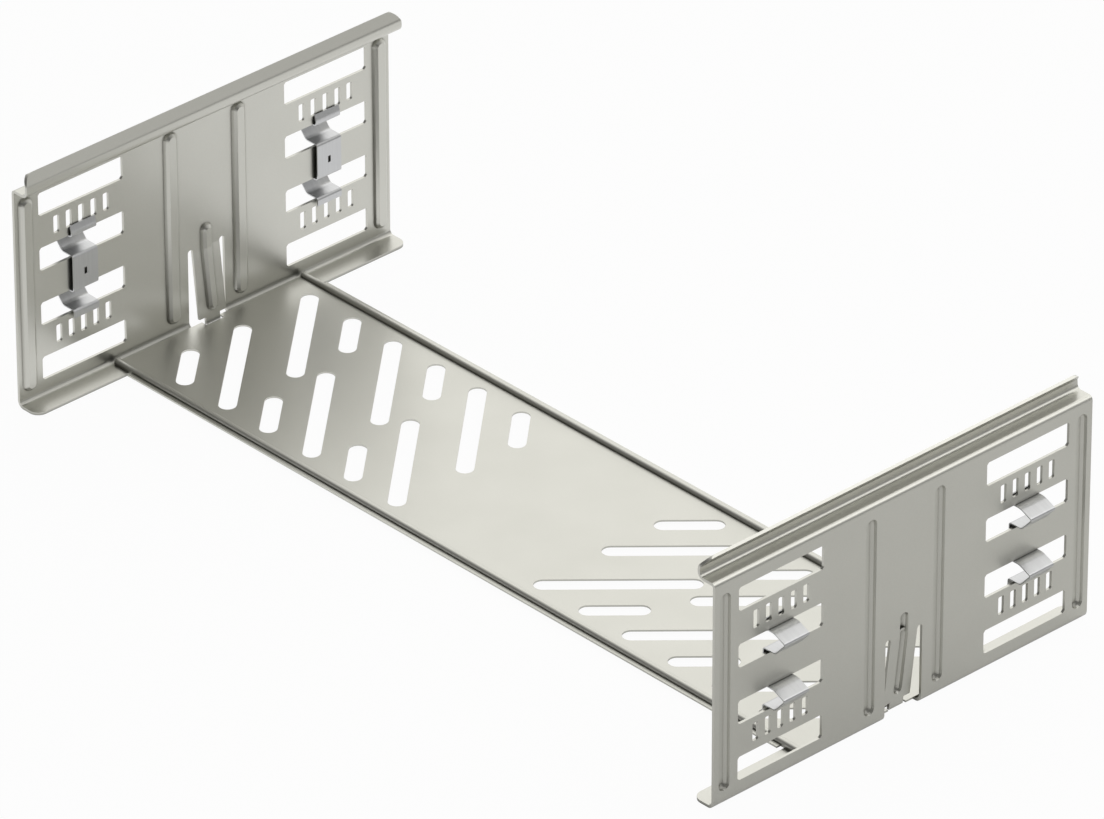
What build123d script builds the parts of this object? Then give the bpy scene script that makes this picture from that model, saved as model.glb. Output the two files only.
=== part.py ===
import os
from math import cos, radians, sin

from build123d import *

# Perforated cable tray joint: two perforated side plates, a slotted floor plate and four spring clips.
# X runs across the tray, Y along it and Z up. The origin is midway between the side plates, at the
# middle of their length, on the level of their undersides. All sizes are in millimetres.

# Round ends of ribs and floor slots are cut as polygons with this many sides to a full turn
round_end_facets = 24

# Side plates
tray_width = 401.0  # clear width between the side plates
plate_length = 200.0
plate_sheet = 1.2
foot_reach = 10.65  # bottom flange, inwards from the plate's inner face
foot_bend = 2.0  # bends are given by the radius on their hollow side
foot_corner = 4.5  # rounded ends of the bottom flange
shoulder_height = 100.5
shoulder_depth = 7.05  # from the inner face to the outer face of the upstand
shoulder_bend = 0.8
upstand_rise = 3.95  # from the shoulder to where the upstand turns into the lip
upstand_bend = 2.0
lip_length = 4.75
lip_angle = 39.0  # from upright
lip_bend = 1.0
lip_corner = 6.0  # rounded ends of the lip and the upstand, seen across the tray

# Punched slots of a side plate, in two groups
group_inset = 34.6  # from the plate's end to the middle of a group
wide_slot_length = 44.35
wide_slot_height = 10.5
wide_slot_corner = 0.9  # cut across, like those of the narrow slots
wide_slot_rows = 4
wide_slot_pitch = 25.2
wide_slot_start = 13.05  # centre of the lowest row
narrow_slot_width = 3.0
narrow_slot_height = 8.0
narrow_slot_corner = 0.4
narrow_slot_count = 5
narrow_slot_pitch = 6.5
narrow_slot_rise = 0.5  # above the middle between two rows of wide slots

# Ribs pressed inwards
rib_width = 7.0
rib_depth = 2.0
rib_wall = 0.65  # rib wall measured along the plate
rib_flank = 1.1  # height of the steep flanks below the crown
flank_draft = 25.0
crown_draft = 52.0
rib_bottom = 5.9
rib_headroom = 5.5  # from the ribs' upper ends to the shoulder
end_rib_inset = 5.5  # from the plate's end
inner_rib_offset = 18.2  # from the middle of the plate

# Tongue cut free at the foot of a side plate
tongue_width = 14.2
tongue_gap = 2.7
tongue_hinge = 35.0
tongue_length = 30.8
tongue_lean = 6.4  # degrees inwards
tongue_rib_width = 5.8
tongue_rib_rise = 11.0  # above the hinge
tongue_rib_end = 2.2  # to the tongue's lower edge
nose_width = 7.4
nose_length = 3.3

# Floor plate
floor_sheet = 0.75
floor_length = 107.6  # along the tray, over both rims
bead_radius = 1.5
bead_inset = 3.6  # from the rim's edge to the middle of the bead
bead_rise = 0.3  # centre of the bead above the floor's top
rim_setback = 12.5  # rims stop short of the side plates
floor_slot_width = 7.5
floor_slot_angle = 47.5
long_slot_span = 59.0  # between the centres of the round ends
short_slot_span = 20.8
slot_margin = 6.5  # from the middle of a bead to the slots' outer ends
floor_slot_columns = 3
floor_slot_pitch = 50.4
floor_slot_inset = 35.5  # from the floor's end to the outermost column
short_slot_shift = 12.9
notch_width = 9.4
notch_depth = 2.8

# Spring clips
clip_width = 13.0
clip_sheet = 0.5
clip_gap = 0.2  # under the slot's upper edge
clip_stand = 1.5  # from the plate's inner face to the strip between the loops
hook_toe_gap = 0.1  # from the plate to the upper hook's end
hook_stand = 1.0  # from the plate to the upper hook's bulge
hook_bulge = 1.8
hook_length = 4.6
lower_hook_length = 3.0
clip_crest = 4.0  # where the strip starts to slope down
clip_reach = 10.6  # outwards from the plate's inner face
clip_drop = 2.8
clip_knee = 5.0
clip_height = 9.3  # of a loop, over the strip
crest_bend = 6.0
reach_bend = 0.9
knee_bend = 3.0
clip_bend = 0.8
clip_hole_width = 1.4
clip_hole_height = 3.0

inner_face = tray_width / 2
outer_face = inner_face + plate_sheet
half_length = plate_length / 2
group_offset = half_length - group_inset
upstand_face = inner_face - shoulder_depth
upstand_height = shoulder_height + upstand_rise
lip_top = upstand_height + lip_length * cos(radians(lip_angle)) + plate_sheet * sin(radians(lip_angle))
rib_offsets = (end_rib_inset - half_length, -inner_rib_offset, inner_rib_offset, half_length - end_rib_inset)
rib_top = shoulder_height - rib_headroom
wide_slot_levels = [wide_slot_start + wide_slot_pitch * row for row in range(wide_slot_rows)]
clip_levels = (wide_slot_levels[2], wide_slot_levels[1])
floor_top = plate_sheet + floor_sheet
floor_half_width = inner_face - foot_bend
bead_offset = floor_length / 2 - bead_inset


def plate_section():
    """Bent sheet of the right-hand side plate, seen along the tray."""
    lip = Vector(lip_length, 0).rotate(Axis.Z, 90 - lip_angle)
    with BuildSketch(Plane.XZ) as section:
        with BuildLine():
            FilletPolyline(
                (inner_face - foot_reach, 0),
                (outer_face, 0),
                (outer_face, shoulder_height),
                (upstand_face, shoulder_height),
                (upstand_face, upstand_height),
                (upstand_face + lip.X, upstand_height + lip.Y),
                radius=[foot_bend + plate_sheet, shoulder_bend + plate_sheet, upstand_bend, lip_bend],
            )
            offset(amount=plate_sheet, side=Side.LEFT)
        make_face()
    return section.sketch


def round_slot(span, width):
    """Slot along the sketch's X axis; span is the distance between the centres of its round ends."""
    with BuildSketch() as slot:
        with Locations((-span / 2, 0), (span / 2, 0)):
            RegularPolygon(width / 2, round_end_facets)
        Rectangle(span, width)
    return slot.sketch


def press_rib(outside, bottom, top, width):
    """Raises a rib on the inner face and sinks its groove in the outer one: steep flanks, flatter crown."""
    middle = Plane(outside * Pos(0, (bottom + top) / 2))
    inwards = Axis(middle.origin, middle.z_dir)
    for start, wall, mode in ((plate_sheet, 0, Mode.ADD), (0, rib_wall, Mode.SUBTRACT)):
        with BuildSketch(middle.offset(start)) as outline:
            add(round_slot(top - bottom - width, width - 2 * wall), rotation=90)
        flanks = extrude(outline.sketch, amount=rib_flank, taper=flank_draft, mode=mode)
        crown = flanks.faces().sort_by(inwards)[-1]
        extrude(crown, amount=rib_depth - rib_flank, taper=crown_draft, mode=mode)


with BuildPart() as side_plate_right:
    extrude(plate_section(), amount=half_length, both=True)
    foot_tip = side_plate_right.edges().filter_by(Axis.Z).group_by(Axis.X)[0]
    fillet(foot_tip, radius=foot_corner)
    with BuildSketch(Plane.YZ.offset(upstand_face - plate_sheet)):
        with Locations((0, lip_top - lip_corner)):
            Rectangle(plate_length, 2 * lip_corner)
        with Locations((0, lip_top - 2 * lip_corner)):
            RectangleRounded(plate_length, 4 * lip_corner, lip_corner, mode=Mode.SUBTRACT)
    extrude(amount=shoulder_depth + plate_sheet, mode=Mode.SUBTRACT)

    for along in rib_offsets:
        web = Plane(origin=(outer_face, along, 0), x_dir=(0, -1, 0), z_dir=(-1, 0, 0))
        press_rib(web, rib_bottom, rib_top, rib_width)
    hinge = Plane(origin=(outer_face, 0, tongue_hinge), x_dir=(0, -1, 0), z_dir=(-1, 0, 0))
    press_rib(hinge, -tongue_rib_width, tongue_rib_rise, tongue_rib_width)

    with BuildSketch(Plane.YZ.offset(inner_face - foot_reach)):
        with Locations((0, tongue_hinge / 2)):
            Rectangle(tongue_width + 2 * tongue_gap, tongue_hinge)
        gap_middle = (tongue_width + tongue_gap) / 2
        with Locations((-gap_middle, tongue_hinge), (gap_middle, tongue_hinge)):
            Circle(tongue_gap / 2)
    extrude(amount=foot_reach + plate_sheet, mode=Mode.SUBTRACT)
    leaning = hinge.rotated((0, tongue_lean, 0))
    with BuildSketch(leaning):
        with Locations((0, -tongue_length / 2)):
            Rectangle(tongue_width, tongue_length)
        with Locations((0, -(tongue_length + nose_length) / 2)):
            Rectangle(nose_width, tongue_length + nose_length)
    extrude(amount=plate_sheet)
    press_rib(leaning, tongue_rib_end - tongue_length, tongue_rib_width / 2, tongue_rib_width)

    with BuildSketch(Plane.YZ.offset(inner_face)) as wide_slots:
        with Locations((-group_offset, 0), (group_offset, 0)):
            with Locations(*[(0, level) for level in wide_slot_levels]):
                Rectangle(wide_slot_length, wide_slot_height)
        chamfer(wide_slots.vertices(), length=wide_slot_corner)
    extrude(amount=plate_sheet, mode=Mode.SUBTRACT)
    with BuildSketch(Plane.YZ.offset(inner_face)) as narrow_slots:
        with Locations((-group_offset, 0), (group_offset, 0)):
            for level in (wide_slot_levels[0], wide_slot_levels[2]):
                with Locations((0, level + wide_slot_pitch / 2 + narrow_slot_rise)):
                    with GridLocations(narrow_slot_pitch, 1, narrow_slot_count, 1):
                        Rectangle(narrow_slot_width, narrow_slot_height)
        chamfer(narrow_slots.vertices(), length=narrow_slot_corner)
    extrude(amount=plate_sheet, mode=Mode.SUBTRACT)

with BuildPart() as side_plate_left:
    mirror(side_plate_right.part, about=Plane.YZ)


def slot_offset(span):
    """Distance of a floor slot's middle from the middle of the floor."""
    return bead_offset - slot_margin - floor_slot_width / 2 - span / 2 * sin(radians(floor_slot_angle))


with BuildPart() as floor_plate:
    with BuildSketch(Plane.YZ):
        with Locations((0, plate_sheet + floor_sheet / 2)):
            Rectangle(floor_length, floor_sheet)
        with Locations((-bead_offset, floor_top + bead_rise), (bead_offset, floor_top + bead_rise)):
            Circle(bead_radius)
            Circle(bead_radius - floor_sheet, mode=Mode.SUBTRACT)
            with Locations((0, -(floor_sheet + bead_rise + bead_radius))):
                Rectangle(2 * bead_radius, 2 * bead_radius, mode=Mode.SUBTRACT)
            with Locations((0, -(floor_sheet + bead_rise) / 2)):
                Rectangle(2 * (bead_radius - floor_sheet), floor_sheet + bead_rise, mode=Mode.SUBTRACT)
    extrude(amount=floor_half_width, both=True)
    long_slot = round_slot(long_slot_span, floor_slot_width)
    short_slot = round_slot(short_slot_span, floor_slot_width)
    long_offset = slot_offset(long_slot_span)
    short_offset = slot_offset(short_slot_span)
    with BuildSketch(Plane.XY):
        for side in (-1, 1):
            for column in range(floor_slot_columns):
                centre = side * (floor_half_width - floor_slot_inset - floor_slot_pitch * column)
                with Locations((centre, long_offset), (centre, -long_offset)):
                    add(long_slot, rotation=side * floor_slot_angle)
                shift = side * short_slot_shift
                with Locations((centre - shift, short_offset), (centre + shift, -short_offset)):
                    add(short_slot, rotation=side * floor_slot_angle)
            with Locations((side * floor_half_width, 0)):
                Rectangle(2 * notch_depth, notch_width)
    extrude(amount=floor_top, mode=Mode.SUBTRACT)
    with BuildSketch(Plane.XY):
        rim_width = bead_inset - bead_radius
        with GridLocations(2 * inner_face, floor_length - rim_width, 2, 2):
            Rectangle(2 * rim_setback, rim_width)
    extrude(amount=floor_top, mode=Mode.SUBTRACT)


def clip_path():
    """Line of the spring strip from its upper hook to its lower one, on the side of the plate."""
    upper, lower = [level + wide_slot_height / 2 - clip_gap for level in clip_levels]
    hook = inner_face - hook_stand
    stand = inner_face - clip_stand

    def loop(top):
        return [
            (inner_face + clip_crest, top),
            (inner_face + clip_reach, top - clip_drop),
            (inner_face + clip_knee, top - clip_height),
        ]

    return FilletPolyline(
        (inner_face - hook_toe_gap, upper + hook_length),
        (hook, upper + hook_bulge),
        (hook, upper),
        *loop(upper),
        (stand, upper - clip_height),
        (stand, lower),
        *loop(lower),
        (stand, lower - clip_height),
        (stand, lower - clip_height - lower_hook_length),
        radius=[
            knee_bend, clip_bend, crest_bend, reach_bend, knee_bend, clip_bend,
            clip_bend, crest_bend, reach_bend, knee_bend, clip_bend,
        ],
    )


def spring_clip(along):
    """Spring strip bent out through two wide slots of the right-hand plate."""
    with BuildPart() as clip:
        with BuildSketch(Plane.XZ.offset(-along)):
            with BuildLine():
                clip_path()
                offset(amount=clip_sheet, side=Side.RIGHT)
            make_face()
        extrude(amount=clip_width / 2, both=True)
        with BuildSketch(Plane.YZ.offset(inner_face - 2 * clip_stand)):
            with Locations((along, (clip_levels[0] + clip_levels[1]) / 2)):
                Rectangle(clip_hole_width, clip_hole_height)
        extrude(amount=2 * clip_stand, mode=Mode.SUBTRACT)
    return clip.part


with BuildPart() as spring_clip_right_near:
    add(spring_clip(-group_offset))

with BuildPart() as spring_clip_right_far:
    add(spring_clip(group_offset))

with BuildPart() as spring_clip_left_near:
    mirror(spring_clip_right_near.part, about=Plane.YZ)

with BuildPart() as spring_clip_left_far:
    mirror(spring_clip_right_far.part, about=Plane.YZ)


os.makedirs("parts", exist_ok=True)
pieces = {
    "side_plate_left": side_plate_left,
    "side_plate_right": side_plate_right,
    "floor_plate": floor_plate,
    "spring_clip_left_near": spring_clip_left_near,
    "spring_clip_left_far": spring_clip_left_far,
    "spring_clip_right_near": spring_clip_right_near,
    "spring_clip_right_far": spring_clip_right_far,
}
for name, piece in pieces.items():
    piece.part.label = name
    export_step(piece.part, f"parts/{name}.step")
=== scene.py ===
import math

import bpy
from mathutils import Matrix, Vector

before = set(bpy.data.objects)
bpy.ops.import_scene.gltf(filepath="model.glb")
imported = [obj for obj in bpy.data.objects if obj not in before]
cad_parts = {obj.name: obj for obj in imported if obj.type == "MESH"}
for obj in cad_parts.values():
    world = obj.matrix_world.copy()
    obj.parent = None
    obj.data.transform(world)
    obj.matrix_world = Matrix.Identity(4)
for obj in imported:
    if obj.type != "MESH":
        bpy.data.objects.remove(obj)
scene = bpy.context.scene
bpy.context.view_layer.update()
print("tray joint: frame loaded,", len(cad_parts), "pieces")


# a socket that can stand in a Python expression
class Wire:
    def __init__(self, finish, socket):
        self.finish = finish
        self.socket = socket

    def maths(self, operation, first, second, clamp=False):
        settings = {"operation": operation, "use_clamp": clamp}
        return self.finish.node("ShaderNodeMath", settings, {0: first, 1: second})

    def __add__(self, other):
        return self.maths("ADD", self, other)

    def __radd__(self, other):
        return self.maths("ADD", other, self)

    def __sub__(self, other):
        return self.maths("SUBTRACT", self, other)

    def __rsub__(self, other):
        return self.maths("SUBTRACT", other, self)

    def __mul__(self, other):
        return self.maths("MULTIPLY", self, other)

    def __rmul__(self, other):
        return self.maths("MULTIPLY", other, self)

    def __truediv__(self, other):
        return self.maths("DIVIDE", self, other)

    def __rtruediv__(self, other):
        return self.maths("DIVIDE", other, self)

    def limited(self):  # held between 0 and 1
        return self.maths("ADD", self, 0.0, clamp=True)


# a material or world, with one method for every node in it
class Finish:
    def __init__(self, name, world=None):
        self.owner = world or bpy.data.materials.new(name)
        self.owner.use_nodes = True
        self.tree = self.owner.node_tree
        self.tree.nodes.clear()

    def node(self, kind, settings=None, values=None, out=0):
        item = self.tree.nodes.new(kind)
        for key, value in (settings or {}).items():
            setattr(item, key, value)
        for key, value in (values or {}).items():
            if isinstance(value, Wire):
                self.tree.links.new(value.socket, item.inputs[key])
            else:
                item.inputs[key].default_value = value
        return Wire(self, item.outputs[out])

    def place(self, kind="Object"):
        return self.node("ShaderNodeTexCoord", out=kind)

    def ray(self, kind):  # 1 for rays of that kind, else 0
        return self.node("ShaderNodeLightPath", out=kind)

    def noise(self, place, scale, detail):
        values = {"Vector": place, "Scale": scale, "Detail": detail}
        return self.node("ShaderNodeTexNoise", None, values)

    def blendColours(self, share, first, second):  # the colour sockets of a Mix node go by number
        return self.node("ShaderNodeMix", {"data_type": "RGBA"}, {0: share, 6: first, 7: second}, out=2)

    def overlay(self, pattern, look, under):
        share = (pattern * look["gain"] - look["cut"]).limited() * look["share"]
        return self.blendColours(share, under, rgb(*look["colour"]))

    def close(self, shader, kind="ShaderNodeOutputMaterial"):
        item = self.tree.nodes.new(kind)
        self.tree.links.new(shader.socket, item.inputs["Surface"])
        return self.owner


def rgb(red, green, blue):
    return (red, green, blue, 1)


pureWhite = rgb(1, 1, 1)
noiseMiddle = 0.5  # what a noise texture gives on average

# camera: the photograph's own viewpoint, a long lens from the right and above
view = {
    "azimuth": 47.1346,
    "elevation": 31.1802,
    "roll": -0.0934,
    "distance": 4.352422,
    "aside": -0.003195,
    "above": 0.000428,
    "rise": 0.047,  # height that the view is centred on
    "lens": 362.08,
    "sensor": 36,
    "farthest": 100,
}


def makeCamera():
    az, el, roll = (math.radians(view[key]) for key in ("azimuth", "elevation", "roll"))
    ahead = Vector((-math.sin(az) * math.cos(el), math.cos(az) * math.cos(el), -math.sin(el)))
    level = Vector((math.cos(az), math.sin(az), 0))
    upright = level.cross(ahead)
    right = math.cos(roll) * level + math.sin(roll) * upright
    up = -math.sin(roll) * level + math.cos(roll) * upright
    place = Vector((0, 0, view["rise"])) - ahead * view["distance"]
    place -= right * view["aside"] + up * view["above"]
    data = bpy.data.cameras.new("camera")
    data.lens = view["lens"]
    data.sensor_width = view["sensor"]
    data.clip_end = view["farthest"]
    camera = bpy.data.objects.new("camera", data)
    camera.matrix_world = Matrix.Translation(place) @ Matrix((right, up, -ahead)).transposed().to_4x4()
    scene.collection.objects.link(camera)
    scene.camera = camera


makeCamera()
print("tray joint: camera set")


# room: dim in front of the tray and bright behind it, and plain white where the camera sees it
room = {
    "light": 0.16,  # strength in front of the tray
    "backLight": 1.45,  # and what it gains towards the bright side
    "brightWay": (-0.28, 0.76, 0.585),
    "tint": (1.0, 0.995, 0.98),
}


def makeRoom():
    world = bpy.data.worlds.new("studio")
    scene.world = world
    air = Finish("studio", world)
    seen = air.ray("Is Camera Ray")
    ways = {0: air.place("Generated"), 1: room["brightWay"]}
    facing = air.node("ShaderNodeVectorMath", {"operation": "DOT_PRODUCT"}, ways, out="Value").limited()
    light = facing * facing * room["backLight"] + room["light"]
    strength = seen * (1 - light) + light
    tint = air.blendColours(seen, rgb(*room["tint"]), pureWhite)
    glow = air.node("ShaderNodeBackground", None, {"Color": tint, "Strength": strength})
    air.close(glow, "ShaderNodeOutputWorld")


# ground: a pale matt floor that the camera sees as nearly white, and metal as white left of the tray but
# darker right of it, a painted shade
ground = {
    "size": 12,
    "below": 0.0002,  # under the plates' flanges
    "colour": (0.8, 0.8, 0.79),
    "seen": 0.96,  # share of plain white as the camera sees it
    "leftMirrored": 1.0,  # and as metal mirrors it, left of the tray's middle
    "rightMirroredShaded": 0.34,  # and right of the tray
    "mirrorTurn": (-0.05, 0.2),  # x between which the two shares change over
}


def makeGround():
    bpy.ops.mesh.primitive_plane_add(size=ground["size"], location=(0, 0, -ground["below"]))
    plane = bpy.context.object
    plane.name = "ground"
    pale = Finish("paleFloor")
    mirrored = (pale.ray("Is Glossy Ray") + pale.ray("Is Transmission Ray")).limited()
    start, end = ground["mirrorTurn"]
    across = pale.node("ShaderNodeSeparateXYZ", None, {0: pale.place()}, out="X")
    turn = ((across - start) / (end - start)).limited()
    # painted shade: the floor's glow as metal mirrors it drops from white left of the tray to a darker share
    # right of it, standing in for the right plate's shadow
    white = turn * (ground["rightMirroredShaded"] - ground["leftMirrored"]) + ground["leftMirrored"]
    share = pale.ray("Is Camera Ray") * ground["seen"] + mirrored * white
    matt = pale.node("ShaderNodeBsdfDiffuse", None, {"Color": rgb(*ground["colour"])})
    bright = pale.node("ShaderNodeEmission", None, {"Color": pureWhite, "Strength": 1.0})
    both = pale.node("ShaderNodeMixShader", None, {0: share, 1: matt, 2: bright})
    plane.data.materials.append(pale.close(both))


# strip: a long soft lamp above the right plate, which draws a bright line along its bends
strip = {
    "place": (0.329, 0.175, 0.307),
    "aim": (0.2, 0.175, 0.1),
    "length": 0.35,
    "width": 0.15,
    "power": 0.15,
}


def makeStrip():
    data = bpy.data.lights.new("strip", "AREA")
    data.shape = "RECTANGLE"
    data.size = strip["length"]
    data.size_y = strip["width"]
    data.energy = strip["power"]
    lamp = bpy.data.objects.new("strip", data)
    lamp.location = strip["place"]
    towards = Vector(strip["aim"]) - Vector(strip["place"])
    lamp.rotation_euler = towards.to_track_quat("-Z", "Y").to_euler()
    scene.collection.objects.link(lamp)


makeRoom()
makeGround()
makeStrip()
scene.view_settings.view_transform = "Standard"
print("tray joint: studio lit")


# zinc-coated sheet: warm grey with faint clouds and a fine grain, and painted shade that darkens it in
# corners and grooves
zinc = {
    "colour": (0.603, 0.60, 0.553),
    "metallic": 0.9,
    "plateRoughness": 0.33,
    "floorRoughness": 0.38,
    "cloud": {"scale": 34, "detail": 3, "colour": (0.563, 0.56, 0.513), "gain": 2, "cut": 0.5, "share": 0.5},
    "cloudRoughening": 0.06,
    "grain": {"scale": 2600, "detail": 2, "colour": (0.65, 0.647, 0.60), "gain": 3, "cut": 1.1, "share": 0.4},
    "grainRoughening": 0.08,
    "grainRelief": {"Strength": 0.015, "Distance": 0.0002},
    # cornerShade: painted shade, a dark colour laid in where ambient occlusion finds corners and grooves
    "cornerShade": {"reach": 0.0025, "open": 0.92, "gain": 2.4, "share": 0.85, "colour": (0.16, 0.16, 0.14)},
}


# painted shade: where the Ambient Occlusion node finds the surface closed in, the base colour is blended
# towards a dark grey
def paintCornerShade(sheet, under):
    cornerShade = zinc["cornerShade"]
    openness = sheet.node("ShaderNodeAmbientOcclusion", None, {"Distance": cornerShade["reach"]}, out="AO")
    share = ((cornerShade["open"] - openness) * cornerShade["gain"]).limited() * cornerShade["share"]
    return sheet.blendColours(share, under, rgb(*cornerShade["colour"]))


def zincFinish(name, roughness):
    sheet = Finish(name)
    place = sheet.place()
    cloud = sheet.noise(place, zinc["cloud"]["scale"], zinc["cloud"]["detail"])
    grain = sheet.noise(place, zinc["grain"]["scale"], zinc["grain"]["detail"])
    colour = sheet.overlay(cloud, zinc["cloud"], rgb(*zinc["colour"]))
    colour = sheet.overlay(grain, zinc["grain"], colour)
    # painted shade in corners and grooves
    colour = paintCornerShade(sheet, colour)
    rough = roughness + (cloud - noiseMiddle) * zinc["cloudRoughening"]
    rough = rough + (grain - noiseMiddle) * zinc["grainRoughening"]
    relief = sheet.node("ShaderNodeBump", None, {**zinc["grainRelief"], "Height": grain})
    metal = sheet.node("ShaderNodeBsdfPrincipled", None, {
        "Base Color": colour, "Metallic": zinc["metallic"], "Roughness": rough, "Normal": relief,
    })
    return sheet.close(metal)


# spring strip of the clips: cooler and smoother than the sheet, with lines along the strip
spring = {
    "colour": (0.58, 0.585, 0.59),
    "metallic": 0.9,
    "roughness": 0.30,
    "stretch": (60, 1500, 60),  # fine across the strip, long along it
    "line": {"scale": 1, "detail": 2, "colour": (0.53, 0.535, 0.54), "gain": 3, "cut": 1, "share": 0.6},
    "lineRoughening": 0.06,
}


def springFinish(name):
    steel = Finish(name)
    values = {0: steel.place(), 1: spring["stretch"]}
    drawn = steel.node("ShaderNodeVectorMath", {"operation": "MULTIPLY"}, values)
    line = steel.noise(drawn, spring["line"]["scale"], spring["line"]["detail"])
    colour = steel.overlay(line, spring["line"], rgb(*spring["colour"]))
    rough = spring["roughness"] + (line - noiseMiddle) * spring["lineRoughening"]
    metal = steel.node("ShaderNodeBsdfPrincipled", None, {
        "Base Color": colour, "Metallic": spring["metallic"], "Roughness": rough,
    })
    return steel.close(metal)


def dress():
    webs = zincFinish("zincSidePlate", zinc["plateRoughness"])
    floor = zincFinish("zincFloorPlate", zinc["floorRoughness"])
    clips = springFinish("springStrip")
    for node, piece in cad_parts.items():
        finish = clips if node.startswith("spring_clip") else floor if node == "floor_plate" else webs
        for slot in piece.material_slots:
            slot.material = finish


dress()
print("tray joint: sheets and clips dressed")
